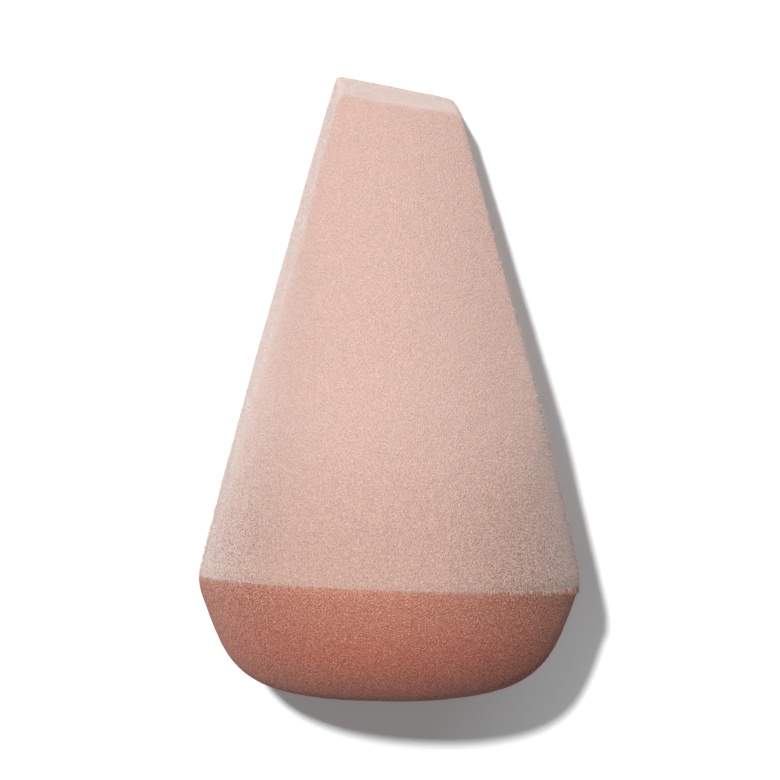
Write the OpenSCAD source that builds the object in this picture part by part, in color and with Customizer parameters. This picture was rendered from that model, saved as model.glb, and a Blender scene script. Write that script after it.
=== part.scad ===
// Tapered cosmetic sponge with a flocked body and a bare domed base, lying on its flat back.
// Millimetres. +Y runs from the base to the tip, +Z points up, and the back face lies on z = 0.

/* [Base] */
// Radius of the round rim where the base meets the body
rim_r = 20; // [15:0.5:28]
// Depth of the base from the rim to the middle of its crown
base_depth = 12.5; // [9:0.1:18]
// Lean of the base's side just under the rim, in degrees
base_side_lean = 20; // [10:1:30]
// How far the side runs on before it starts to turn under
base_side_reach = 9.4; // [5:0.5:11]
// How far the nearly flat crown reaches out from the middle
base_crown_reach = 16.5; // [9:0.2:17]
// How far the seam's right side sits below its left side, in degrees
seam_tilt = 1.4; // [0:0.1:3]
// How far the base leans the other way, which leaves it thicker on the left, in degrees
base_lean = 0.4; // [0:0.1:2]
// Height of the base's collar above the rim, before the seam cuts it
collar_h = 1; // [0.8:0.1:2]

/* [Body] */
// Length of the centre line from the rim to the cut at the tip
body_len = 50.7; // [40:0.2:70]
// Half the width across the flat faces at the tip
tip_half_w = 6; // [4:0.1:9]
// Radius at the tip of the round form that rounds off the corners
form_tip_r = 8.8; // [7:0.1:13]
// How far the planes of the faces pass outside the rim, which ends the facets below it
face_rim_gap = 0.25; // [0.1:0.05:2]
// How much larger than the rim's the radius of the gently crowned front face is
crown_gap = 2; // [0.5:0.5:30]
// How far the right face turns towards the front, which leaves the back wider there, in degrees
right_face_turn = 5.5; // [0:0.5:8]
// How much further out the right face stands than the left one
right_face_out = 0.45; // [0:0.05:1]

/* [Tip cut] */
// Fall of the cut from the left side to the right side, in degrees
tip_side_slant = 8.3; // [0:0.1:20]
// Fall of the cut from the back to the front, in degrees
tip_front_slant = 10.8; // [0:0.1:25]

/* [Layers] */
// Thickness of the flocked pile
pile_t = 0.6; // [0.3:0.05:1.2]
// Thickness of the adhesive coat that holds the pile
coat_t = 0.12; // [0.05:0.01:0.3]
// Thickness of the glue film between the base and the body
seam_t = 0.15; // [0.1:0.01:0.4]
// How far the edge of the glue film stays inside the rim
seam_inset = 0.5; // [0.2:0.05:1]

/* [Hidden] */
$fn = 96;

// Colours
coral = [0.72, 0.42, 0.36];
blush = [0.88, 0.74, 0.69];
cream = [0.93, 0.86, 0.80];
glue = [0.80, 0.76, 0.70];

// The faces' planes, and the cone of the round form
face_rim_d = rim_r + face_rim_gap;
face_lean = atan((face_rim_d - tip_half_w) / body_len);
face_d = face_rim_d * cos(face_lean);
cone_lean = atan((rim_r - form_tip_r) / body_len);
crown_r = rim_r + crown_gap;

// A block this long reaches past the whole body, and the cone runs past both of its ends
reach = 4 * (body_len + rim_r);
cone_over = rim_r / 4;

// The origin is on the back face, under the middle of the centre line
mid_y = body_len / 2;
mid_back_d = face_rim_d - mid_y * tan(face_lean);
origin_y = mid_y * cos(face_lean) - mid_back_d * sin(face_lean);

// Half profile of the base, a collar and then a cubic curve from the rim to the middle of the crown
profile_steps = 36;
collar_pt = [rim_r - collar_h * tan(cone_lean), -collar_h];
base_rim_pt = [rim_r, 0];
base_side_pt = [rim_r - base_side_reach * sin(base_side_lean), base_side_reach * cos(base_side_lean)];
base_crown_pt = [base_crown_reach, base_depth];
base_mid_pt = [0, base_depth];
function curve(a, b, c, d, s) =
    pow(1 - s, 3) * a + 3 * pow(1 - s, 2) * s * b + 3 * (1 - s) * s * s * c + pow(s, 3) * d;
base_curve = [for (i = [0:profile_steps])
    curve(base_rim_pt, base_side_pt, base_crown_pt, base_mid_pt, i / profile_steps)];
base_profile = concat([[0, -collar_h], collar_pt], base_curve);

// Lays the standing body on its back face
module laid_down() {
    translate([0, -origin_y, face_d])
        rotate([-face_lean, 0, 0])
            children();
}

// Turns what is drawn along +Z away from the tip, with a lean towards the right side
module under_rim(lean) {
    rotate([0, 0, lean])
        rotate([90, 0, 0])
            children();
}

// Space on the inner side of a plane whose outward direction is +Y, at a distance from the origin
module below_plane(distance) {
    translate([-reach / 2, distance - reach, -reach / 2])
        cube(reach);
}

// Space inside one flat face: 0 faces right, 90 is the back one and 180 the left one
module inside_face(turn, inset) {
    rotate([0, turn, 0])
        rotate([0, 0, face_lean - 90])
            below_plane(face_d - inset);
}

// Space inside the crowned front face
module inside_front(inset) {
    rotate([-face_lean, 0, 0])
        translate([0, 0, face_d - crown_r])
            rotate([90, 0, 0])
                cylinder(h = reach, r = crown_r - inset, center = true);
}

// The round form, a cone that narrows towards the tip
module round_form(inset) {
    inset_r = inset / cos(cone_lean);
    translate([0, -cone_over, 0])
        rotate([-90, 0, 0])
            cylinder(
                h = body_len + 2 * cone_over,
                r1 = rim_r + cone_over * tan(cone_lean) - inset_r,
                r2 = form_tip_r - cone_over * tan(cone_lean) - inset_r
            );
}

// Everything below the slanted cut at the tip
module below_tip(inset) {
    translate([0, body_len, 0])
        rotate([0, 0, -tip_side_slant])
            rotate([tip_front_slant, 0, 0])
                below_plane(-inset);
}

// Everything above the seam
module above_seam() {
    rotate([180, 0, -seam_tilt])
        below_plane(0);
}

// Everything below the seam, past the glue film
module below_seam() {
    rotate([0, 0, -seam_tilt])
        below_plane(-seam_t);
}

// The tapered form, drawn in from its outer surface by an inset, and running on past the seam
module tapered_form(inset) {
    intersection() {
        round_form(inset);
        inside_front(inset);
        inside_face(-right_face_turn, inset - right_face_out);
        intersection_for(turn = [90, 180])
            inside_face(turn, inset);
        below_tip(inset);
    }
}

// The body inside an inset, cut off at the seam
module body_solid(inset) {
    intersection() {
        tapered_form(inset);
        above_seam();
    }
}

// One layer of the body between two insets, open at the seam
module body_layer(outer_inset, inner_inset) {
    difference() {
        body_solid(outer_inset);
        tapered_form(inner_inset);
    }
}

// Bare domed foam, the part that blends
module foam_base() {
    color(coral)
        laid_down()
            intersection() {
                under_rim(base_lean)
                    rotate_extrude()
                        polygon(base_profile);
                below_seam();
            }
}

// Glue film that joins the base to the core, set in from the rim
module seam_glue() {
    color(glue)
        laid_down()
            under_rim(-seam_tilt)
                cylinder(h = seam_t, r = rim_r - seam_inset);
}

// Tapered foam core inside the flocked skin
module foam_core() {
    color(cream)
        laid_down()
            body_solid(pile_t + coat_t);
}

// Adhesive coat on the core
module flock_adhesive() {
    color(glue)
        laid_down()
            body_layer(pile_t, pile_t + coat_t);
}

// Flocked pile, the soft outer skin of the body
module flock_skin() {
    color(blush)
        laid_down()
            body_layer(0, pile_t);
}

foam_base();
seam_glue();
foam_core();
flock_adhesive();
flock_skin();
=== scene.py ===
"""Tapered makeup sponge: a body covered in velvety flock on a bare domed foam base.

Shapes are worked out in the form's own frame, in millimetres: the middle of the rim is the origin,
+Y is the centre line towards the tip, +Z is the front and +X the right side. They are then laid on
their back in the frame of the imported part, in metres.
"""

import logging
import math
from dataclasses import dataclass, field
from enum import Enum
from functools import partial
from typing import Callable

import bpy
import numpy as np
from mathutils import Matrix, Vector

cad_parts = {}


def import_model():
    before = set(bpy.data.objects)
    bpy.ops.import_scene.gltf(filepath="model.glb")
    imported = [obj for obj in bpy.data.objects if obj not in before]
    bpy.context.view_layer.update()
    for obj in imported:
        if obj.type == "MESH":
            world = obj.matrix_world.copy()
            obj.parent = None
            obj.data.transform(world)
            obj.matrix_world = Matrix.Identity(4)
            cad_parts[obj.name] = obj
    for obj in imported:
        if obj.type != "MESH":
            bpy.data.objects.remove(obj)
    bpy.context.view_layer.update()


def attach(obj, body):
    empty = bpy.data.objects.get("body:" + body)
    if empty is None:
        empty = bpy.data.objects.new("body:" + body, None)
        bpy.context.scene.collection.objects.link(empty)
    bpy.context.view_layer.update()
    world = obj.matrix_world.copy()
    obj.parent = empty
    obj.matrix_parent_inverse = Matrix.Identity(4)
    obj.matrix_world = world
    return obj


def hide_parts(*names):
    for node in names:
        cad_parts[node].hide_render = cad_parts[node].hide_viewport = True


log = logging.getLogger("sponge")

MM = 0.001
BODY = "root"
# Point attribute that drives the painted shading at the rim: painted shade on the flock, a painted glow on
# the foam
RIM_SHADING_ATTRIBUTE = "near_rim"
# Point attribute that drives the painted grain shade: darker pits and lighter peaks where light grazes
GRAIN_SHADE_ATTRIBUTE = "painted_grain_shade"

FULL_TURN = 2 * math.pi
RIGHT_ANGLE = math.pi / 2
UP = np.array([0.0, 1.0, 0.0])

# The least length that is divided by
TINY = 1e-12

# Distance from the seam's edge over which a surface grows uneven, in millimetres
EDGE_FADE = 0.6

# A ray of this many millimetres ends outside the sponge, and this many halvings find the surface on it
FAR = 90.0
HALVINGS = 34

# A fan's row parameters run from 0 to this
LAST_ROW = 3.0

# Points of the curves that are measured before rows and columns are spaced, and of the dome's profile
ROW_SAMPLES = 12001
RING_SAMPLES = 6001
PROFILE_SAMPLES = 600

# The faces of a fibre, from the three points of its foot and its tip
SPIKE_FACES = np.array([[0, 2, 1], [0, 1, 3], [1, 2, 3], [2, 0, 3]])

Array = np.ndarray
Socket = bpy.types.NodeSocket
Field = Callable[[Array], Array]
Slope = tuple[float, float]
Waves = tuple[tuple[float, float], ...]
Colour = tuple[float, float, float]

WHITE: Colour = (1.0, 1.0, 1.0)


class Slot(Enum):
    """The names of the record's material slots."""

    FOAM = "coral_foam"
    CORE = "core_foam"
    GLUE = "adhesive"
    FLOCK = "blush_flock"


# Shape tools


def soft_max(a: Array, b: Array, blend: float) -> Array:
    """Returns the larger distance plus a quarter of blend times the squared share they lie within it."""
    share = np.clip(blend - np.abs(a - b), 0.0, None) / blend
    return np.maximum(a, b) + share * share * blend / 4


def bezier(a: Array, b: Array, c: Array, d: Array, count: int) -> Array:
    """Returns points of a cubic curve from its start, its two handles and its end, one row each."""
    s = np.linspace(0.0, 1.0, count)[:, None]
    return (1 - s) ** 3 * a + 3 * (1 - s) ** 2 * s * b + 3 * (1 - s) * s * s * c + s**3 * d


def unit(vectors: Array) -> Array:
    """Returns vectors scaled to a length of one."""
    return vectors / np.maximum(np.linalg.norm(vectors, axis=-1, keepdims=True), TINY)


def plane_slope(normal: Array) -> Slope:
    """Returns how far a plane rises for each unit along X and along Z, from its normal."""
    return -normal[0] / normal[1], -normal[2] / normal[1]


def ring_angles(count: int) -> Array:
    """Returns evenly spaced angles once round the centre line."""
    return np.linspace(0.0, FULL_TURN, count, endpoint=False)


def reach(distance: Field, origins: Array, directions: Array) -> Array:
    """Returns where rays from inside a form leave it, found by halving the bracket again and again.

    Args:
        distance: Signed distance of the form, negative inside.
        origins: Start points inside the form.
        directions: Directions, about as long as one unit.

    Returns:
        The points on the surface, in the rays' shape.
    """
    near_t = np.zeros(directions.shape[:-1])
    far_t = np.full(directions.shape[:-1], FAR)
    for _ in range(HALVINGS):
        middle = (near_t + far_t) / 2
        inside = distance(origins + middle[..., None] * directions) < 0
        near_t = np.where(inside, middle, near_t)
        far_t = np.where(inside, far_t, middle)
    return origins + far_t[..., None] * directions


def outward(distance: Field, points: Array, step: float = 0.02) -> Array:
    """Returns unit normals of a form, from central differences of its signed distance.

    Args:
        distance: Signed distance of the form.
        points: Points on its surface.
        step: How far to each side of a point the distance is taken.

    Returns:
        The normals, in the points' shape.
    """
    gradient = np.empty_like(points)
    for axis in range(3):
        shift = np.zeros(3)
        shift[axis] = step
        gradient[..., axis] = distance(points + shift) - distance(points - shift)
    return unit(gradient)


def even_steps(curve: Array, params: Array, count: int, turn_weight: float) -> Array:
    """Returns parameters that space points evenly along a curve, and closer where it turns.

    The measure is the length run through plus the angle turned through times a weight.

    Args:
        curve: Dense points of the curve.
        params: The parameter of each of those points.
        count: Number of parameters wanted, both ends among them.
        turn_weight: Length that a turn of one radian counts as.

    Returns:
        The parameters, rising.
    """
    steps = np.diff(curve, axis=0)
    lengths, tangents = np.linalg.norm(steps, axis=1), unit(steps)
    cosines = np.clip(np.sum(tangents[1:] * tangents[:-1], axis=1), -1.0, 1.0)
    turns = np.concatenate([[0.0], np.arccos(cosines)])
    measure = np.concatenate([[0.0], np.cumsum(lengths + turn_weight * turns)])
    return np.interp(np.linspace(0.0, measure[-1], count), measure, params)


@dataclass
class SolidNoise:
    """Smooth random values in space, from a seeded lattice that repeats."""

    seed: int  # Seed of the lattice
    size: int = 48  # Number of lattice points along each side
    offset: float = 1000.37  # Shift in cells that keeps the sponge away from the lattice's own corner
    lattice: Array = field(init=False, repr=False)  # Its values

    def __post_init__(self) -> None:
        """Fills the lattice with values from -1 to 1."""
        rng = np.random.default_rng(self.seed)
        self.lattice = rng.uniform(-1.0, 1.0, (self.size,) * 3)

    def sample(self, points: Array, wavelength: float) -> Array:
        """Returns noise at points: lattice values mixed by the eased shares of the cell.

        Args:
            points: Points in millimetres.
            wavelength: Side of a lattice cell in millimetres.

        Returns:
            Values from -1 to 1, one for each point.
        """
        scaled = points / wavelength + self.offset
        cell = np.floor(scaled).astype(np.int64)
        share = scaled - cell
        share = share**3 * (share * (share * 6 - 15) + 10)
        ends = (cell % self.size, 1 - share), ((cell + 1) % self.size, share)
        total = np.zeros(points.shape[:-1])
        for corner in range(8):
            sides = [ends[(corner >> axis) & 1] for axis in range(3)]
            value = self.lattice[tuple(index[..., axis] for axis, (index, _) in enumerate(sides))]
            for axis, (_, weight) in enumerate(sides):
                value = value * weight[..., axis]
            total += value
        return total


def roughened(grid: Array, distance: Field, from_edge: Array, waves: Waves, seed: int) -> Array:
    """Returns a foam surface's points moved along its normals by noise, which fades out at the seam.

    Args:
        grid: Points of the surface.
        distance: Signed distance of its form.
        from_edge: Distance of each point from the seam's edge.
        waves: Height and length of each of the noise's waves.
        seed: Seed of the noise.

    Returns:
        The moved points.
    """
    noise = SolidNoise(seed)
    height = sum(size * noise.sample(grid, length) for size, length in waves)
    share = np.clip(from_edge / EDGE_FADE, 0.0, 1.0)
    return grid + outward(distance, grid) * (height * share)[..., None]


# The form


@dataclass(frozen=True)
class SpongeForm:
    """The sponge's outer form, as signed distances in the form's own frame, in millimetres."""

    rim_r: float = 20.0  # Radius of the rim
    body_len: float = 50.7  # Length of the centre line from the rim to the cut
    tip_half_w: float = 6.0  # Half the width across the flat faces at the tip
    form_tip_r: float = 8.8  # Radius of the round form at the tip
    face_rim_gap: float = 0.25  # How far the faces' planes pass outside the rim
    crown_gap: float = 2.0  # How much larger than the rim's the front face's radius is
    right_face_turn: float = 5.5  # How far the right face turns towards the front, in degrees
    right_face_out: float = 0.45  # How much further out the right face stands
    corner_out: float = 1.9  # How far the round form stands out at the corner of the front and the right face
    corner_y: float = 20.0  # Place on the centre line where it has come all the way out
    tip_side_slant: float = 8.3  # Fall of the cut from left to right, in degrees
    tip_front_slant: float = 10.8  # Fall of the cut from back to front, in degrees
    cut_twist: float = 0.0044  # How much steeper that fall grows towards the left, for each millimetre
    cut_still: tuple[float, float] = (3.0, 6.3)  # Place along X and Z that the twist turns about
    seam_tilt: float = 1.4  # How far the seam's right side sits low, in degrees
    seam_t: float = 0.15  # Thickness of the glue film
    seam_fit: float = 0.004  # Gap between the base and the skin's lip outside the film
    film_r: float = 19.5  # Radius of the glue film
    ramp_share: float = 0.33  # Share of the way from the film to the rim over which the lip comes down
    rim_drop: float = 0.3  # How far under the seam the base is widest
    base_lean: float = 0.4  # How far the base leans the other way, in degrees
    base_depth: float = 12.2  # Depth of the base from the rim to the middle of its crown
    base_side_lean: float = 20.0  # Lean of the base's side just under the rim, in degrees
    base_side_reach: float = 9.4  # How far that side runs on before it turns under
    base_crown_reach: float = 16.5  # How far the nearly flat crown reaches out from the middle
    crease_blend: float = 0.5  # Width of the rounding between flat faces and the front
    round_blend: float = 0.5  # Width of the rounding between the faces and the round form
    cut_blend: float = 0.7  # Width of the rounding round the cut at the tip
    rim_blend: float = 0.8  # Width of the rounding round the rim, which body and base share
    lip_blend: float = 0.012  # Width of the rounding of their lips in the seam
    # The painted grain shade: pits are painted darker and peaks lighter, for the grain's own shadows where
    # light grazes
    grain_shade_from: float = 0.5  # How far left of the middle the painted grain shade starts, in rim radii
    grain_shade_left: float = 0.45  # Least value of the place from left to right, which keeps some painted grain shade on the left
    grain_shade_least: float = 0.3  # How deep the painted grain shade is on the right side far above the rim
    grain_shade_fade: float = 23.0  # Height above the rim over which that fades to the least
    grain_shade_edge: float = 0.45  # How much deeper the painted grain shade is low on the left edge
    grain_shade_edge_from: float = 0.65  # How far round to the left that starts, as the cosine of the angle
    grain_shade_base: float = 0.15  # How deep the painted shade in the foam's grain is in the middle of the base
    grain_shade_shift: float = 0.1  # How far left of the middle that is, in rim radii

    @property
    def face_lean(self) -> float:
        """Lean of the flat faces to the centre line, in radians."""
        return math.atan((self.rim_r + self.face_rim_gap - self.tip_half_w) / self.body_len)

    @property
    def face_d(self) -> float:
        """Distance of the flat faces' planes from the middle of the rim."""
        return (self.rim_r + self.face_rim_gap) * math.cos(self.face_lean)

    @property
    def cone_lean(self) -> float:
        """Lean of the round form's side to the centre line, in radians."""
        return math.atan((self.rim_r - self.form_tip_r) / self.body_len)

    @property
    def seam_normal(self) -> Array:
        """Unit normal of the seam, towards the tip."""
        tilt = math.radians(self.seam_tilt)
        return np.array([math.sin(tilt), math.cos(tilt), 0.0])

    @property
    def cut_normal(self) -> Array:
        """Unit normal of the cut at the tip, pointing out."""
        side, front = math.radians(self.tip_side_slant), math.radians(self.tip_front_slant)
        flat = math.cos(front)
        return np.array([flat * math.sin(side), flat * math.cos(side), math.sin(front)])

    @property
    def base_down(self) -> Array:
        """Unit vector along the base's leaning axis, away from the tip."""
        lean = math.radians(self.base_lean)
        return np.array([math.sin(lean), -math.cos(lean), 0.0])

    def cone_distance(self, radius: Array, along: Array, lean: float) -> Array:
        """Returns the distance to a cone through the rim that narrows along its axis by a lean."""
        return (radius - self.rim_r + along * math.tan(lean)) * math.cos(lean)

    def round_distance(self, p: Array) -> Array:
        """Returns the distance to the cone that rounds the body off.

        The cone stands out more between right and front, where it follows the square of the sine of
        twice the angle, and it does so more towards the tip.

        Args:
            p: Points.

        Returns:
            Signed distances, negative inside.
        """
        radius = np.hypot(p[..., 0], p[..., 2])
        front_right = np.clip(p[..., 0], 0.0, None) * np.clip(p[..., 2], 0.0, None)
        double_sine = 2 * front_right / np.maximum(radius * radius, TINY)
        towards_tip = np.clip(p[..., 1] / self.corner_y, 0.0, 1.0) ** 2
        radius = radius - self.corner_out * towards_tip * double_sine**2
        return self.cone_distance(radius, p[..., 1], self.cone_lean)

    def face_distance(self, p: Array, turn: float, out: float = 0.0) -> Array:
        """Returns the distance to a flat face that is turned from the right side towards the front."""
        across = p[..., 0] * math.cos(turn) + p[..., 2] * math.sin(turn)
        return across * math.cos(self.face_lean) + p[..., 1] * math.sin(self.face_lean) - self.face_d - out

    def side_distance(self, p: Array) -> Array:
        """Returns the distance to the body's sides: three flat faces and a crowned one, and the cone.

        Args:
            p: Points.

        Returns:
            Signed distances, negative inside.
        """
        right = self.face_distance(p, math.radians(self.right_face_turn), self.right_face_out)
        left, back = self.face_distance(p, 2 * RIGHT_ANGLE), self.face_distance(p, -RIGHT_ANGLE)
        crown_r = self.rim_r + self.crown_gap
        above = self.face_distance(p, RIGHT_ANGLE) + crown_r
        front = np.hypot(p[..., 0], above) - crown_r
        faces = soft_max(soft_max(np.maximum(left, right), back, self.crease_blend), front, self.crease_blend)
        return soft_max(faces, self.round_distance(p), self.round_blend)

    def cut_distance(self, p: Array) -> Array:
        """Returns the distance to the cut at the tip, a plane with a slight twist."""
        twist = self.cut_twist * (self.cut_still[0] - p[..., 0]) * (self.cut_still[1] - p[..., 2])
        return p @ self.cut_normal - self.body_len * self.cut_normal[1] - twist

    def seam_distance(self, p: Array) -> Array:
        """Returns the height above the seam."""
        return p @ self.seam_normal

    def lip_drop(self, p: Array) -> Array:
        """Returns how far the skin's lip hangs under the seam, which it does outside the film."""
        past_film = (np.hypot(p[..., 0], p[..., 2]) - self.film_r) / (self.rim_r - self.film_r)
        return (self.seam_t - self.seam_fit) * np.clip(past_film / self.ramp_share, 0.0, 1.0)

    def body_distance(self, p: Array, inset: float = 0.0, at_seam: bool = True) -> Array:
        """Returns the distance to the body drawn in by an inset.

        Args:
            p: Points.
            inset: How far the sides and the cut lie inside the outer surface.
            at_seam: Whether the body ends at the seam or runs on past it.

        Returns:
            Signed distances, negative inside.
        """
        sides = soft_max(self.side_distance(p), self.base_side_distance(p), self.rim_blend)
        d = soft_max(sides, self.cut_distance(p), self.cut_blend) + inset
        return soft_max(d, -self.seam_distance(p) - self.lip_drop(p), self.lip_blend) if at_seam else d

    def base_place(self, p: Array) -> tuple[Array, Array]:
        """Returns how deep under the rim points lie, and how far from the base's leaning axis."""
        depth = p @ self.base_down
        return depth - self.rim_drop, np.linalg.norm(p - depth[..., None] * self.base_down, axis=-1)

    def base_side_distance(self, p: Array) -> Array:
        """Returns the distance to the cone that the base's side follows just under the rim."""
        depth, radius = self.base_place(p)
        return self.cone_distance(radius, depth, math.radians(self.base_side_lean))

    def base_profile(self) -> tuple[Array, Array]:
        """Works out the dome's half profile, a cubic curve from the rim to the middle of the crown.

        Returns:
            Angles below the rim, and distances from the rim's middle.
        """
        lean, run = math.radians(self.base_side_lean), self.base_side_reach
        start, middle = np.array([self.rim_r, 0.0]), np.array([0.0, self.base_depth])
        side = np.array([self.rim_r - run * math.sin(lean), run * math.cos(lean)])
        crown = np.array([self.base_crown_reach, self.base_depth])
        curve = bezier(start, side, crown, middle, PROFILE_SAMPLES)
        return np.arctan2(curve[:, 1], curve[:, 0]), np.hypot(curve[:, 0], curve[:, 1])

    def dome_distance(self, p: Array) -> Array:
        """Returns the distance to the dome from the rim's middle, and above it to its side's cone.

        Args:
            p: Points.

        Returns:
            Signed distances, negative inside.
        """
        depth, radius = self.base_place(p)
        angles, ranges = self.base_profile()
        dome = np.hypot(radius, depth) - np.interp(np.arctan2(depth, radius), angles, ranges)
        return np.where(depth < 0, self.base_side_distance(p), dome)

    def base_distance(self, p: Array) -> Array:
        """Returns the distance to the base: the dome, cut off under the film."""
        outside = soft_max(self.dome_distance(p), self.round_distance(p), self.rim_blend)
        return soft_max(outside, self.seam_distance(p) + self.seam_t, self.lip_blend)

    def film_distance(self, p: Array) -> Array:
        """Returns the distance to the glue film, a disc whose faces blend with its round edge.

        Args:
            p: Points.

        Returns:
            Signed distances, negative inside.
        """
        half_t = self.seam_t / 2
        height = self.seam_distance(p) + half_t
        radius = np.linalg.norm(p - height[..., None] * self.seam_normal, axis=-1)
        return soft_max(np.abs(height) - half_t, radius - self.film_r, half_t)

    def near_rim(self, p: Array, fade: float) -> Array:
        """Returns how near the seam points lie: 1 at the seam, eased to 0 at a fade's distance."""
        share = np.clip(1 - np.abs(self.seam_distance(p)) / fade, 0.0, 1.0)
        return share * share * (3 - 2 * share)

    def painted_grain_shade(self, p: Array) -> Array:
        """Returns how deep the painted grain shade is: painted shade in the pits and painted highlights on
        the peaks, for the grain's shadows where light grazes.

        On the body it follows the square of the place from left to right and is strongest at the rim,
        and a narrow band low on the left edge adds to it. On the base it follows the square of the
        distance from a plane left of the middle, and the fourth power of the depth.

        Args:
            p: Points.

        Returns:
            Values from 0 to 1.
        """
        across = p[..., 0] / self.rim_r
        right = np.clip((across + self.grain_shade_from) / (1 + self.grain_shade_from), self.grain_shade_left, 1.0)
        low = self.near_rim(p, self.grain_shade_fade)
        leftward = -p[..., 0] / np.maximum(np.hypot(p[..., 0], p[..., 2]), TINY)
        edge = np.clip((leftward - self.grain_shade_edge_from) / (1 - self.grain_shade_edge_from), 0.0, 1.0)
        body = right * right * (self.grain_shade_least + (1 - self.grain_shade_least) * low) + self.grain_shade_edge * edge * low
        depth = np.clip(-p[..., 1] / self.base_depth, 0.0, 1.0)
        aside = (across + self.grain_shade_shift) ** 2
        base = self.grain_shade_base + (1 - self.grain_shade_base) * (aside + depth**4)
        on_body = self.seam_distance(p) > self.seam_fit / 2 - self.seam_t
        return np.clip(np.where(on_body, body, base), 0.0, 1.0)

    def laid_down(self, p: Array) -> Array:
        """Returns points of the form in the part's frame, with the back face pressed flat.

        Args:
            p: Points of the form, in millimetres.

        Returns:
            The same points in the part's frame, in metres.
        """
        cos, sin = math.cos(self.face_lean), math.sin(self.face_lean)
        mid_y = self.body_len / 2
        mid_back_d = self.rim_r + self.face_rim_gap - mid_y * math.tan(self.face_lean)
        origin_y = mid_y * cos - mid_back_d * sin
        y = p[..., 1] * cos + p[..., 2] * sin - origin_y
        z = p[..., 2] * cos - p[..., 1] * sin + self.face_d
        return np.stack([p[..., 0], y, np.maximum(z, 0.0)], axis=-1) * MM


@dataclass(frozen=True)
class RayFan:
    """Rays that sweep a form from one end of its centre line to the other.

    Rows follow the centre line and columns go round it. The rows near an end lean with the plane
    there, so that they run along its edge.
    """

    low_y: float  # Place on the centre line of the rays that turn towards the base
    high_y: float  # Place on the centre line of the rays that turn towards the tip
    low_slope: Slope  # Slope of the base end's plane along X and Z
    high_slope: Slope  # Slope of the tip end's plane along X and Z
    low_turn: float = RIGHT_ANGLE  # How far the first rays turn towards the base, in radians

    def rays(self, rows: Array, columns: Array) -> tuple[Array, Array]:
        """Returns the rays' start points and directions.

        From 0 to 1 a row's parameter turns the ray up from the base end, from 1 to 2 it carries the
        start along the centre line, and from 2 to 3 it turns the ray towards the tip.

        Args:
            rows: Row parameters, from 0 to 3.
            columns: Angles round the centre line, in radians from the right side to the front.

        Returns:
            Start points and directions, shaped rows by columns by 3.
        """
        s, phi = np.meshgrid(rows, columns, indexing="ij")
        along = np.clip(s - 1, 0, 1)
        turn = np.clip(s - 2, 0, 1) * RIGHT_ANGLE - np.clip(1 - s, 0, 1) * self.low_turn
        ends = zip(self.low_slope, self.high_slope)
        slope_x, slope_z = (low + (high - low) * along for low, high in ends)
        rise = slope_x * np.cos(phi) + slope_z * np.sin(phi)
        across = np.stack([np.cos(phi), rise, np.sin(phi)], axis=-1)
        starts = (self.low_y + (self.high_y - self.low_y) * along)[..., None] * UP
        return starts, np.cos(turn)[..., None] * across + np.sin(turn)[..., None] * UP

    def surface(self, distance: Field, row_count: int, columns: Array, turn_weight: float) -> Array:
        """Returns a grid of points on a form, with rows spaced evenly and closer round its edges.

        Args:
            distance: Signed distance of the form.
            row_count: Number of rows.
            columns: Angles round the centre line.
            turn_weight: Length that a turn of one radian counts as.

        Returns:
            Points, shaped rows by columns by 3.
        """
        dense = np.linspace(0.0, LAST_ROW, ROW_SAMPLES)
        front = np.array([RIGHT_ANGLE])
        curve = reach(distance, *self.rays(dense, front))[:, 0]
        rows = even_steps(curve, dense, row_count, turn_weight)
        return reach(distance, *self.rays(rows, columns))


# Meshes and materials


def new_piece(name: str, points: Array, loops: Array, sizes: Array, smooth: bool,
              paints: dict[str, Array]) -> bpy.types.Object:
    """Makes a piece of points and faces, and keeps the paints of its points.

    Args:
        name: Name of the piece.
        points: Points in the part's frame, in metres.
        loops: The faces' point numbers, one face after another.
        sizes: Number of points of each face.
        smooth: Whether the faces are shaded smooth.
        paints: Values for each point, from 0 to 1, by the name of their attribute.

    Returns:
        The new object, at the origin.
    """
    mesh = bpy.data.meshes.new(name)
    mesh.vertices.add(len(points))
    mesh.vertices.foreach_set("co", points.astype(np.float32).ravel())
    mesh.loops.add(len(loops))
    mesh.loops.foreach_set("vertex_index", loops.astype(np.int32))
    mesh.polygons.add(len(sizes))
    mesh.polygons.foreach_set("loop_start", (np.cumsum(sizes) - sizes).astype(np.int32))
    mesh.polygons.foreach_set("use_smooth", np.full(len(sizes), smooth))
    for paint, values in paints.items():
        mesh.attributes.new(paint, "FLOAT", "POINT").data.foreach_set("value", values.astype(np.float32))
    mesh.update(calc_edges=True)
    mesh.validate()
    piece = bpy.data.objects.new(name, mesh)
    bpy.context.scene.collection.objects.link(piece)
    return piece


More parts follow.
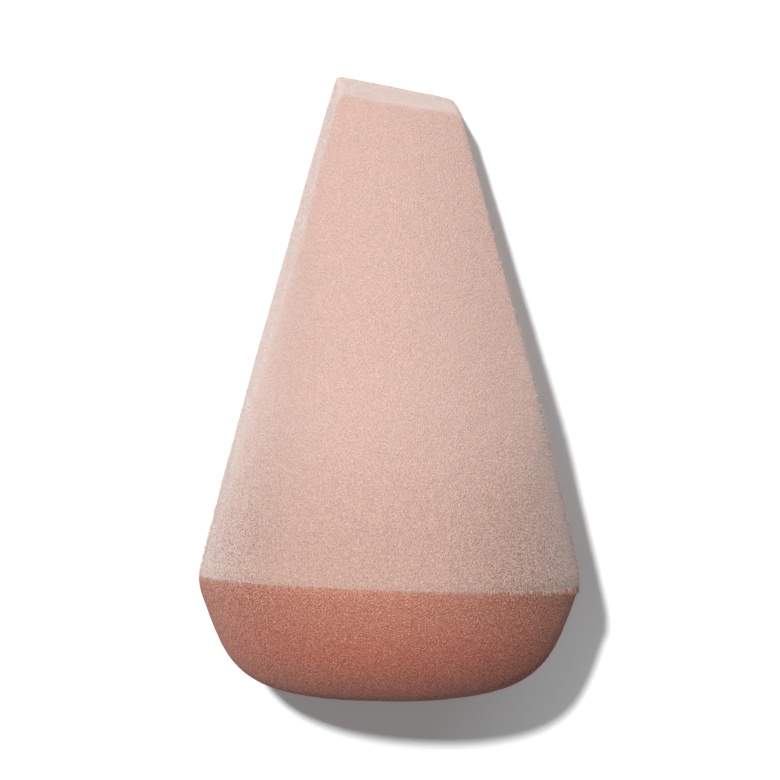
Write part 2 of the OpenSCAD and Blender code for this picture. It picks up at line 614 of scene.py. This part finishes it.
def closed_mesh(name: str, grid: Array, form: SpongeForm, fade: float) -> bpy.types.Object:
    """Makes a closed piece of a grid whose first and last rows shrink to a point.

    Args:
        name: Name of the piece.
        grid: Points in the form's frame, rows by columns by 3, with the columns going round.
        form: The sponge's form, which lays the points down.
        fade: Distance from the rim over which its painted shading at the rim fades out, in millimetres.

    Returns:
        The new object, with smooth faces that point out.
    """
    rows, columns = grid.shape[:2]
    poles = np.stack([grid[0].mean(axis=0), grid[-1].mean(axis=0)])
    spots = np.concatenate([grid[1:-1].reshape(-1, 3), poles])
    first = (rows - 2) * columns
    index = np.arange(first).reshape(rows - 2, columns)
    after = np.roll(index, -1, axis=1)
    quads = np.stack([index[:-1], index[1:], after[1:], after[:-1]], axis=-1)
    low = np.stack([np.full(columns, first), index[0], after[0]], axis=-1)
    high = np.stack([np.full(columns, first + 1), after[-1], index[-1]], axis=-1)
    loops = np.concatenate([quads.ravel(), low.ravel(), high.ravel()])
    sizes = np.concatenate([np.full(quads.size // 4, 4), np.full(2 * columns, 3)])
    # Paints for the painted shading at the rim, and for the painted shade and highlights of the grain
    paints = {RIM_SHADING_ATTRIBUTE: form.near_rim(spots, fade), GRAIN_SHADE_ATTRIBUTE: form.painted_grain_shade(spots)}
    return new_piece(name, form.laid_down(spots), loops, sizes, True, paints)


def dress(piece: bpy.types.Object, node: str, material: bpy.types.Material) -> None:
    """Puts a piece in its node's place, on its body and in its finish.

    Args:
        piece: The piece.
        node: Name of the node that it stands for, or nothing for an added piece.
        material: Its finish.
    """
    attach(piece, BODY)
    if node:
        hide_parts(node)
    piece.data.materials.append(material)
    log.info("%s: %d faces", piece.name, len(piece.data.polygons))


def opaque(colour: Colour) -> tuple[float, float, float, float]:
    """Returns a colour with a full alpha."""
    return (*colour, 1.0)


class NodeSketch:
    """Places and links shader nodes in one node tree."""

    def __init__(self, tree: bpy.types.NodeTree) -> None:
        """Keeps the tree."""
        self.tree = tree

    def add(self, kind: str, inputs: dict[str, object] | None = None, **settings: object) -> bpy.types.Node:
        """Returns a new node with its attributes set and its inputs fed.

        Args:
            kind: Blender's name of the node type.
            inputs: What feeds its inputs, by their names: an output to link, or a plain value.
            settings: Attributes by name.

        Returns:
            The node.
        """
        node = self.tree.nodes.new(kind)
        for name, value in settings.items():
            setattr(node, name, value)
        for name, value in (inputs or {}).items():
            if isinstance(value, Socket):
                self.tree.links.new(value, node.inputs[name])
            else:
                node.inputs[name].default_value = value
        return node

    def half(self, a: Socket, b: Socket) -> Socket:
        """Returns the mean of two values."""
        return self.add("ShaderNodeMix", {"Factor": 0.5, "A": a, "B": b}, data_type="FLOAT").outputs["Result"]

    def span(self, value: Socket, zero_at: float, one_at: float) -> Socket:
        """Returns a value spread from 0 to 1 between two values of its own, and held there past them."""
        ends = {"Value": value, "From Min": zero_at, "From Max": one_at}
        return self.add("ShaderNodeMapRange", ends).outputs["Result"]

    def blend(self, factor: Socket, a: Socket | Colour, b: Socket | Colour, **settings: object) -> Socket:
        """Returns two colours mixed by a factor.

        Args:
            factor: The share of the second colour.
            a: The first colour, as an output or as red, green and blue.
            b: The second colour.
            settings: Attributes of the mix, by name.

        Returns:
            The mixed colour.
        """
        inputs = {"Factor": factor}
        for name, colour in (("A", a), ("B", b)):
            inputs[name] = opaque(colour) if isinstance(colour, tuple) else colour
        return self.add("ShaderNodeMix", inputs, data_type="RGBA", **settings).outputs["Result"]


def new_material(name: str) -> tuple[bpy.types.Material, NodeSketch]:
    """Makes a material without any nodes.

    Args:
        name: Name of the material.

    Returns:
        The material, and the sketch that places its nodes.
    """
    material = bpy.data.materials.new(name)
    material.use_nodes = True
    material.node_tree.nodes.clear()
    return material, NodeSketch(material.node_tree)


def grain_group() -> bpy.types.NodeTree:
    """Builds the shared grain: rough clumps, round pebbles and fine specks in object space.

    Returns:
        A node group with the inputs Vector, Cell, Pebble and Speck, in cells per metre, and with the
        outputs Height for the relief, Mask for the two tones, Glint for the brightest specks, which are
        painted glints, and Pit for the lowest spots.
    """
    group = bpy.data.node_groups.new("soft_grain", "ShaderNodeTree")
    group.interface.new_socket("Vector", in_out="INPUT", socket_type="NodeSocketVector")
    for side, names in (("INPUT", "Cell Pebble Speck"), ("OUTPUT", "Height Mask Glint Pit")):
        for name in names.split():
            group.interface.new_socket(name, in_out=side, socket_type="NodeSocketFloat")
    sketch = NodeSketch(group)
    given = sketch.add("NodeGroupInput").outputs
    clump = sketch.add("ShaderNodeTexNoise", {
        "Vector": given["Vector"], "Scale": given["Cell"], "Detail": 2.0, "Roughness": 0.7}).outputs["Fac"]
    speck = sketch.add("ShaderNodeTexNoise", {
        "Vector": given["Vector"], "Scale": given["Speck"], "Detail": 1.0, "Roughness": 0.6}).outputs["Fac"]
    pebble = sketch.add("ShaderNodeTexVoronoi", {
        "Vector": given["Vector"], "Scale": given["Pebble"]}, feature="SMOOTH_F1").outputs["Distance"]
    height = sketch.half(clump, sketch.span(pebble, zero_at=0.8, one_at=0.0))
    sketch.add("NodeGroupOutput", {
        "Height": height,
        "Mask": sketch.span(sketch.half(height, speck), zero_at=0.35, one_at=0.65),
        "Glint": sketch.span(speck, zero_at=0.6, one_at=0.75),
        "Pit": sketch.span(height, zero_at=0.56, one_at=0.42)})
    return group


@dataclass(frozen=True)
class SoftFinish:
    """A matte, grained finish for foam, flock and dried adhesive."""

    name: str  # Name of the material
    dark: Colour  # Colour in the hollows of the grain
    light: Colour  # Colour on the tops of the grain
    glint: Colour  # Colour of the brightest specks, painted glints
    cell: float  # Clumps of grain per metre
    pebble: float  # Pebbles of grain per metre
    speck: float  # Specks per metre
    relief: float  # Height of the grain in metres
    painted_rim_shading: Colour = WHITE  # Painted shading at the rim: what the colour is multiplied by there
    pit_shade_tint: Colour = WHITE  # Painted shade: what it is multiplied by in the grain's pits, where the painted grain shade is deep
    peak_highlight_tint: Colour = WHITE  # Painted highlight: what it is multiplied by on the grain's peaks there
    roughness: float = 0.95  # Roughness of the surface
    specular: float = 0.1  # Strength of its plain reflection
    sheen: float = 0.0  # Weight of the sheen
    sheen_roughness: float = 0.5  # Roughness of the sheen
    sheen_tint: Colour = WHITE  # Colour of the sheen

    def build(self, grain: bpy.types.NodeTree) -> bpy.types.Material:
        """Returns the material: the grain mixes the tones, which the painted shading at the rim, the painted
        shade in the pits and the painted highlights on the peaks tint.

        Args:
            grain: The shared grain.

        Returns:
            The new material.
        """
        material, sketch = new_material(self.name)
        near, shade_depth = (
            sketch.add("ShaderNodeAttribute", attribute_name=name).outputs["Fac"]
            for name in (RIM_SHADING_ATTRIBUTE, GRAIN_SHADE_ATTRIBUTE))
        pattern = sketch.add("ShaderNodeGroup", {
            "Vector": sketch.add("ShaderNodeTexCoord").outputs["Object"],
            "Cell": self.cell, "Pebble": self.pebble, "Speck": self.speck}, node_tree=grain).outputs
        tone = sketch.blend(pattern["Mask"], self.dark, self.light)
        # Painted glints on the brightest specks
        tone = sketch.blend(pattern["Glint"], tone, self.glint)
        # Painted shading at the rim: painted shade on the flock, a painted glow on the foam
        tone = sketch.blend(near, tone, self.painted_rim_shading, blend_type="MULTIPLY")
        # Painted shade in the grain's pits and painted highlights on its peaks
        tint = sketch.blend(pattern["Pit"], self.peak_highlight_tint, self.pit_shade_tint)
        tone = sketch.blend(shade_depth, tone, tint, blend_type="MULTIPLY", clamp_result=True)
        bump = sketch.add("ShaderNodeBump", {
            "Strength": 1.0, "Distance": self.relief, "Height": pattern["Height"]})
        shader = sketch.add("ShaderNodeBsdfPrincipled", {
            "Base Color": tone, "Normal": bump.outputs["Normal"],
            "Roughness": self.roughness, "Specular IOR Level": self.specular,
            "Sheen Weight": self.sheen, "Sheen Roughness": self.sheen_roughness,
            "Sheen Tint": opaque(self.sheen_tint)})
        sketch.add("ShaderNodeOutputMaterial", {"Surface": shader.outputs["BSDF"]})
        return material


# Its rim tint is painted shade that darkens the flock towards the rim; its pit and peak tints paint the
# grain's shade and highlights
FLOCK = SoftFinish(
    name="blush flock", dark=(0.71, 0.472, 0.405), light=(0.84, 0.57, 0.496), glint=(0.93, 0.72, 0.65),
    painted_rim_shading=(0.90, 0.87, 0.85), pit_shade_tint=(0.16, 0.10, 0.09), peak_highlight_tint=(1.20, 1.12, 1.08),
    cell=7000.0, pebble=7000.0, speck=8200.0, relief=0.0002,
    sheen=1.0, sheen_roughness=0.37, sheen_tint=(1.0, 0.95, 0.92))
# Pale fibres, made lighter still as painted light for light that passes through them at the edges; their rim
# tint is painted shade towards the rim
FIBRE_ENDS = SoftFinish(
    name="pale fibre ends", dark=(0.755, 0.605, 0.545), light=(0.85, 0.73, 0.67), glint=(0.90, 0.80, 0.75),
    painted_rim_shading=(0.80, 0.67, 0.61), pit_shade_tint=(0.5, 0.4, 0.35),
    cell=900.0, pebble=2000.0, speck=3000.0, relief=0.0, sheen=0.6)
# Its rim tint is a painted glow that pales the foam's top under the seam; its pit and peak tints paint the
# grain's shade and highlights, most on the dome's sides and crown
CORAL_FOAM = SoftFinish(
    name="coral foam", dark=(0.50, 0.145, 0.096), light=(0.69, 0.24, 0.166), glint=(0.9, 0.54, 0.44),
    painted_rim_shading=(1.12, 1.42, 1.46), pit_shade_tint=(0.24, 0.14, 0.12), peak_highlight_tint=(1.1, 1.1, 1.1),
    cell=7000.0, pebble=7000.0, speck=8200.0, relief=0.0002,
    sheen=0.55, sheen_roughness=0.4, sheen_tint=(1.0, 0.62, 0.54))
CORE_FOAM = SoftFinish(
    name="core foam", dark=(0.72, 0.60, 0.50), light=(0.86, 0.75, 0.66), glint=(0.92, 0.84, 0.77),
    pit_shade_tint=(0.8, 0.75, 0.7), cell=2000.0, pebble=3000.0, speck=6000.0, relief=0.0001)
ADHESIVE = SoftFinish(
    name="dried adhesive", dark=(0.44, 0.28, 0.23), light=(0.52, 0.35, 0.29), glint=(0.6, 0.42, 0.36),
    pit_shade_tint=(0.9, 0.85, 0.8), cell=1500.0, pebble=2500.0, speck=6000.0, relief=0.00004, roughness=0.7)


# The pieces


@dataclass(frozen=True)
class PileFibres:
    """The pile's longest fibres, slender spikes that stand out of the skin."""

    form: SpongeForm
    count: int = 36000  # Number of fibres all over the skin
    length: float = 0.3  # Their usual length
    spread: tuple[float, float] = (0.6, 1.2)  # Shortest and longest fibres, as shares of the usual length
    foot_r: float = 0.025  # Radius of a fibre's foot
    foot_share: float = 0.2  # How deep the foot stands in the skin, as a share of the usual length
    lean: float = 0.35  # How far fibres lean at random, as a share of upright
    lay: float = 0.15  # How far they all lean towards the base
    fringe_count: int = 7000  # Number of fibres along the rim
    fringe_len: float = 0.62  # Usual length of those
    fringe_low: float = -0.14  # Height at which they start, just above the lowest edge of the skin
    fringe_high: float = 0.12  # Height at which they end
    fringe_hang: float = 8.0  # How far they lean towards the base
    seed: int = 31  # Seed of the random draws

    def roots(self, skin: Array, rng: np.random.Generator) -> Array:
        """Returns random places on the skin, all areas alike, and then those of the fringe.

        Args:
            skin: Points of the skin, rows by columns by 3.
            rng: Source of the random draws.

        Returns:
            The places, one row each.
        """
        after = np.roll(skin, -1, axis=1)
        quads = np.stack([skin[:-1], skin[1:], after[1:], after[:-1]], axis=-2).reshape(-1, 4, 3)
        areas = np.linalg.norm(np.cross(quads[:, 2] - quads[:, 0], quads[:, 3] - quads[:, 1]), axis=-1)
        heights = self.form.seam_distance(quads.mean(axis=1))
        fringe = np.where((heights > self.fringe_low) & (heights < self.fringe_high), areas, 0.0)
        areas = np.where(heights < self.fringe_low, 0.0, areas)
        picks = [rng.choice(len(quads), count, p=weights / weights.sum())
                 for count, weights in ((self.count, areas), (self.fringe_count, fringe))]
        quads = quads[np.concatenate(picks)]
        u, v = rng.random((2, len(quads), 1))
        left = quads[:, 0] * (1 - u) + quads[:, 1] * u
        right = quads[:, 3] * (1 - u) + quads[:, 2] * u
        return left * (1 - v) + right * v

    def build(self, skin: Array, fade: float) -> bpy.types.Object:
        """Makes the fibres: each leans a random way and a little towards the base, and ends in a point.

        Args:
            skin: Points of the skin, rows by columns by 3.
            fade: Height above the rim over which their painted shade at the rim fades out.

        Returns:
            The new object, with four triangles for each fibre.
        """
        rng = np.random.default_rng(self.seed)
        roots = self.roots(skin, rng)
        total = len(roots)
        ways = outward(self.form.body_distance, roots)
        ways = ways + self.lean * rng.normal(size=(total, 3)) - self.lay * UP
        ways[self.count:, 1] -= self.fringe_hang
        ways = unit(ways)
        lengths = np.full((total, 1), self.length)
        lengths[self.count:] = self.fringe_len
        lengths *= rng.uniform(*self.spread, (total, 1))
        side = unit(np.cross(ways, rng.normal(size=(total, 3))))
        other = np.cross(ways, side)
        feet = roots - self.foot_share * self.length * ways
        foot = [feet + self.foot_r * (math.cos(turn) * side + math.sin(turn) * other)
                for turn in ring_angles(3)]
        points = np.stack([*foot, roots + lengths * ways], axis=1)
        loops = (np.arange(total)[:, None, None] * 4 + SPIKE_FACES).ravel()
        # Only the fringe fibres take the painted grain shade
        shade_depth = self.form.painted_grain_shade(roots)
        shade_depth[:self.count] = 0.0
        paints = {RIM_SHADING_ATTRIBUTE: np.repeat(self.form.near_rim(roots, fade), 4),
                  GRAIN_SHADE_ATTRIBUTE: np.repeat(shade_depth, 4)}
        return new_piece("flock_fibres", self.form.laid_down(points.reshape(-1, 3)), loops,
                         np.full(total * 4, 3), False, paints)


@dataclass(frozen=True)
class FlockedBody:
    """The tapered body: foam core, adhesive coat and flocked skin."""

    form: SpongeForm
    pile_t: float = 0.6  # Thickness of the pile
    coat_t: float = 0.12  # Thickness of the adhesive coat
    fit: float = 0.01  # Air between neighbouring layers
    column_count: int = 420  # Columns of the skin
    row_count: int = 184  # Rows of the skin's outer side
    hidden_columns: int = 160  # Columns of the layers inside
    hidden_rows: int = 50  # Rows of the layers inside
    edge_weight: float = 1.2  # Length that a turn of one radian counts as when rows and columns are spaced
    ring_share: float = 0.6  # Place of the ring that columns are spaced on, as a share of the body's length
    skin_low_y: float = 12.0  # Start of the rays to the rim, so high that they reach the hanging lip
    core_low_y: float = 3.0  # Start of the rays to the core's end at the seam
    outer_gap: float = 5.0  # How far under the cut the last rays to a layer's outer side start
    inner_gap: float = 6.0  # How far under it those to an inner side start
    waves: Waves = ((0.07, 9.0), (0.03, 1.1), (0.015, 1.1 / 2.3))  # The hand-cut foam's, and the nap's two
    seed: int = 11  # Seed of their noise
    rim_fade: float = 19.0  # Height above the rim over which the painted shade that darkens the flock towards the rim fades out

    def columns(self, count: int) -> Array:
        """Returns angles round the centre line, spaced evenly on one ring and closer round its edges.

        Args:
            count: Number of angles.

        Returns:
            The angles, in radians.
        """
        dense = np.linspace(0.0, FULL_TURN, RING_SAMPLES)
        starts = np.full((RING_SAMPLES, 3), self.form.body_len * self.ring_share * UP)
        ways = np.stack([np.cos(dense), np.zeros_like(dense), np.sin(dense)], axis=-1)
        ring = reach(self.form.side_distance, starts, ways)
        return even_steps(ring, dense, count + 1, self.edge_weight)[:-1]

    def fan(self, low_y: float, gap: float, low_turn: float) -> RayFan:
        """Returns rays that start between a low place and a gap under the cut, and reach the body's ends."""
        slopes = plane_slope(self.form.seam_normal), plane_slope(self.form.cut_normal)
        return RayFan(low_y, self.form.body_len - gap, *slopes, low_turn)

    def outer_skin(self, columns: Array) -> Array:
        """Returns the skin's outer side, from its inner edge on the seam round the rim to the tip.

        Args:
            columns: Angles round the centre line.

        Returns:
            Points, shaped rows by columns by 3.
        """
        edge_r = self.form.rim_r - self.pile_t / math.cos(self.form.cone_lean)
        fan = self.fan(self.skin_low_y, self.outer_gap, math.atan(self.skin_low_y / edge_r))
        return fan.surface(self.form.body_distance, self.row_count, columns, self.edge_weight)

    def layer_side(self, inset: float, gap: float, columns: Array) -> Array:
        """Returns the outer or the inner side of a hidden layer, from the seam to the tip.

        Args:
            inset: How far it lies inside the outer surface.
            gap: How far under the cut its last rays start.
            columns: Angles round the centre line.

        Returns:
            Points, shaped rows by columns by 3.
        """
        distance = partial(self.form.body_distance, inset=inset, at_seam=False)
        fan = self.fan(self.fit, gap, low_turn=0.0)
        return fan.surface(distance, self.hidden_rows, columns, self.edge_weight)

    def shell(self, name: str, inner: Array, outer: Array) -> bpy.types.Object:
        """Returns a closed shell of an inner and an outer side, which meet at the seam."""
        return closed_mesh(name, np.concatenate([inner[::-1], outer]), self.form, self.rim_fade)

    def build_skin(self) -> bpy.types.Object:
        """Makes the flocked skin, a shell with a rounded lip at the seam.

        Returns:
            The new object.
        """
        columns = self.columns(self.column_count)
        outer = self.outer_skin(columns)
        heights = self.form.seam_distance(outer)
        outer = roughened(outer, self.form.body_distance, heights, self.waves, self.seed)
        return self.shell("flocked_skin", self.layer_side(self.pile_t, self.inner_gap, columns), outer)

    def build_fibres(self) -> bpy.types.Object:
        """Returns the pile's longest fibres on the skin, as a piece of their own."""
        return PileFibres(self.form).build(self.outer_skin(self.columns(self.hidden_columns)), self.rim_fade)

    def build_coat(self) -> bpy.types.Object:
        """Makes the adhesive coat under the skin.

        Returns:
            The new object.
        """
        columns = self.columns(self.hidden_columns)
        outer = self.layer_side(self.pile_t + self.fit, self.outer_gap, columns)
        inner = self.layer_side(self.pile_t + self.coat_t - self.fit, self.inner_gap, columns)
        return self.shell("adhesive_coat", inner, outer)

    def build_core(self) -> bpy.types.Object:
        """Makes the foam core, a closed solid that ends at the seam.

        Returns:
            The new object.
        """
        distance = partial(self.form.body_distance, inset=self.pile_t + self.coat_t + self.fit)
        fan = self.fan(self.core_low_y, self.inner_gap, RIGHT_ANGLE)
        columns = self.columns(self.hidden_columns)
        grid = fan.surface(distance, self.hidden_rows, columns, self.edge_weight)
        return closed_mesh("foam_heart", grid, self.form, self.rim_fade)


@dataclass(frozen=True)
class DomedBase:
    """The bare foam base and the glue film on it."""

    form: SpongeForm
    column_count: int = 480  # Columns of the dome
    row_count: int = 204  # Rows of the dome
    film_columns: int = 240  # Columns of the glue film
    film_rows: int = 60  # Rows of the glue film
    edge_weight: float = 1.0  # Length that a turn of one radian counts as when rows are spaced
    low_y: float = -4.0  # Place on the centre line of the rays to the dome's crown
    high_y: float = -3.0  # Place on the centre line of the rays to its top
    waves: Waves = ((0.05, 7.0), (0.02, 0.7))  # The foam's, and its pores'
    seed: int = 23  # Seed of their noise
    rim_fade: float = 8.0  # Depth under the rim over which the painted glow that pales the foam's top fades out

    def build_dome(self) -> bpy.types.Object:
        """Makes the domed base, closed under the glue film.

        Returns:
            The new object.
        """
        form = self.form
        fan = RayFan(self.low_y, self.high_y, plane_slope(UP), plane_slope(form.seam_normal))
        columns = ring_angles(self.column_count)
        grid = fan.surface(form.base_distance, self.row_count, columns, self.edge_weight)
        depths = -form.seam_t - form.seam_distance(grid)
        grid = roughened(grid, form.base_distance, depths, self.waves, self.seed)
        return closed_mesh("domed_foam", grid, form, self.rim_fade)

    def build_film(self) -> bpy.types.Object:
        """Makes the glue film, a thin disc with a rounded edge that lies in the seam.

        Returns:
            The new object.
        """
        middle_y, slope = -self.form.seam_t / 2, plane_slope(self.form.seam_normal)
        fan = RayFan(middle_y, middle_y, slope, slope)
        columns = ring_angles(self.film_columns)
        grid = fan.surface(self.form.film_distance, self.film_rows, columns, self.edge_weight)
        return closed_mesh("glue_film", grid, self.form, self.rim_fade)


# The setting


@dataclass(frozen=True)
class Studio:
    """A white floor, a small key lamp, two wide soft lamps and a little light from all round."""

    key_shift: tuple[float, float] = (0.285, -0.525)  # Shadow's reach along X and Y for a unit of height
    key_share: float = 0.62  # Light that the key gives the floor, where 1 shows a colour as it is written
    key_angle: float = 2.2  # How wide the key lamp looks, in degrees
    tip_share: float = 0.24  # Light from the soft lamp beyond the tip, on a surface that faces it
    left_share: float = 0.12  # Light from the soft lamp on the left
    soft_height: float = 0.59  # Height of the soft lamps for each unit of distance along the floor
    soft_angle: float = 50.0  # How wide the soft lamps look, in degrees
    surround: float = 0.115  # Light from all round
    floor_half: float = 1.5  # Half the floor's side, in metres
    floor_tone: float = 0.65  # Share of light that the floor gives back to the sponge
    floor_shown: Colour = (1.26, 1.3, 1.31)  # To the camera: white, and cool against the sponge's warm glow

    def build(self) -> None:
        """Makes the floor, the lamps and the world's light."""
        self.build_floor()
        shift_x, shift_y = self.key_shift
        key_way = Vector((-shift_x, -shift_y, 1.0)).normalized()
        self.hang("key", key_way, self.key_share / key_way.z, self.key_angle)
        self.hang("soft_tip", Vector((0.0, 1.0, self.soft_height)), self.tip_share, self.soft_angle)
        self.hang("soft_left", Vector((-1.0, 0.0, self.soft_height)), self.left_share, self.soft_angle)
        world = bpy.data.worlds.new("soft surround")
        world.use_nodes = True
        light = world.node_tree.nodes["Background"].inputs
        light["Color"].default_value = opaque(WHITE)
        light["Strength"].default_value = self.surround
        bpy.context.scene.world = world

    def build_floor(self) -> None:
        """Makes the white floor that the sponge lies on."""
        half = self.floor_half
        mesh = bpy.data.meshes.new("white_floor")
        square = [(-half, -half, 0.0), (half, -half, 0.0), (half, half, 0.0), (-half, half, 0.0)]
        mesh.from_pydata(square, [], [(0, 1, 2, 3)])
        floor = bpy.data.objects.new("white_floor", mesh)
        bpy.context.scene.collection.objects.link(floor)
        material, sketch = new_material("white floor")
        seen = sketch.add("ShaderNodeLightPath").outputs["Is Camera Ray"]
        tone = sketch.blend(seen, (self.floor_tone,) * 3, self.floor_shown)
        matte = sketch.add("ShaderNodeBsdfDiffuse", {"Color": tone})
        sketch.add("ShaderNodeOutputMaterial", {"Surface": matte.outputs["BSDF"]})
        mesh.materials.append(material)

    def hang(self, name: str, way: Vector, share: float, angle: float) -> None:
        """Hangs a distant lamp in a direction from the sponge.

        Args:
            name: Name of the lamp.
            way: Direction from the sponge to the lamp.
            share: Light on a surface that faces the lamp, where 1 shows a colour as it is written.
            angle: How wide the lamp looks, in degrees.
        """
        lamp = bpy.data.lights.new(name, type="SUN")
        lamp.energy = math.pi * share
        lamp.angle = math.radians(angle)
        holder = bpy.data.objects.new(name, lamp)
        holder.rotation_mode = "QUATERNION"
        holder.rotation_quaternion = way.to_track_quat("Z", "Y")
        holder.location = way
        bpy.context.scene.collection.objects.link(holder)


@dataclass(frozen=True)
class PhotoCamera:
    """The camera of the photograph, placed about the sponge's centre line."""

    aim_y: float = 20.0  # Place on the centre line that the camera faces, in millimetres from the rim
    distance: float = 600.0  # Distance from there, in millimetres
    scale: float = 9.57  # Pixels per millimetre there
    image: float = 780.0  # Side of the image in pixels
    sensor: float = 36.0  # Width of the sensor in millimetres
    clip_ratio: float = 10.0  # How many times nearer and farther than there the camera still sees
    round_left: float = 5.702  # How far the camera moves round the centre line to the left, in degrees
    tilt: float = 1.014  # How far it then moves towards the base, in degrees
    turn: float = 0.415  # How far the image turns clockwise, in degrees
    aim_right: float = 0.51  # How far right of the middle that place shows, in pixels
    aim_up: float = 1.29  # How far above the middle it shows, in pixels

    def build(self, form: SpongeForm) -> None:
        """Makes the camera: the photograph shows the sponge turned, and the camera undoes that turn.

        Args:
            form: The sponge's form, which lays the camera's place down with it.
        """
        turned = (
            Matrix.Rotation(-math.radians(self.turn), 3, "Z")
            @ Matrix.Rotation(math.radians(self.tilt), 3, "X")
            @ Matrix.Rotation(math.radians(self.round_left), 3, "Y")
        )
        axes = np.array(turned)
        place = self.aim_y * UP + self.distance * axes[2]
        place = place - (self.aim_right * axes[0] + self.aim_up * axes[1]) / self.scale
        spots = form.laid_down(np.concatenate([[place], place + axes]))
        frame_axes = (spots[1:] - spots[0]) / MM
        camera_data = bpy.data.cameras.new("photo_camera")
        camera_data.sensor_width = self.sensor
        camera_data.lens = self.sensor * self.scale * self.distance / self.image
        camera_data.clip_start = self.distance * MM / self.clip_ratio
        camera_data.clip_end = self.distance * MM * self.clip_ratio
        camera = bpy.data.objects.new("photo_camera", camera_data)
        rotation = Matrix([list(row) for row in frame_axes.T])
        camera.matrix_world = Matrix.Translation(Vector(spots[0])) @ rotation.to_4x4()
        bpy.context.scene.collection.objects.link(camera)
        bpy.context.scene.camera = camera


def main() -> None:
    """Builds the sponge and its setting and reports each piece."""
    logging.basicConfig(level=logging.INFO, format="%(message)s")
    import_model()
    form = SpongeForm()
    grain = grain_group()
    adhesive = ADHESIVE.build(grain)

    body = FlockedBody(form)
    dress(body.build_skin(), "flock_skin", FLOCK.build(grain))
    dress(body.build_fibres(), "", FIBRE_ENDS.build(grain))
    dress(body.build_coat(), "flock_adhesive", adhesive)
    dress(body.build_core(), "foam_core", CORE_FOAM.build(grain))
    base = DomedBase(form)
    dress(base.build_dome(), "foam_base", CORAL_FOAM.build(grain))
    dress(base.build_film(), "seam_glue", adhesive)

    Studio().build()
    PhotoCamera().build(form)
    bpy.context.scene.view_settings.view_transform = "Standard"


if __name__ == "__main__":
    main()
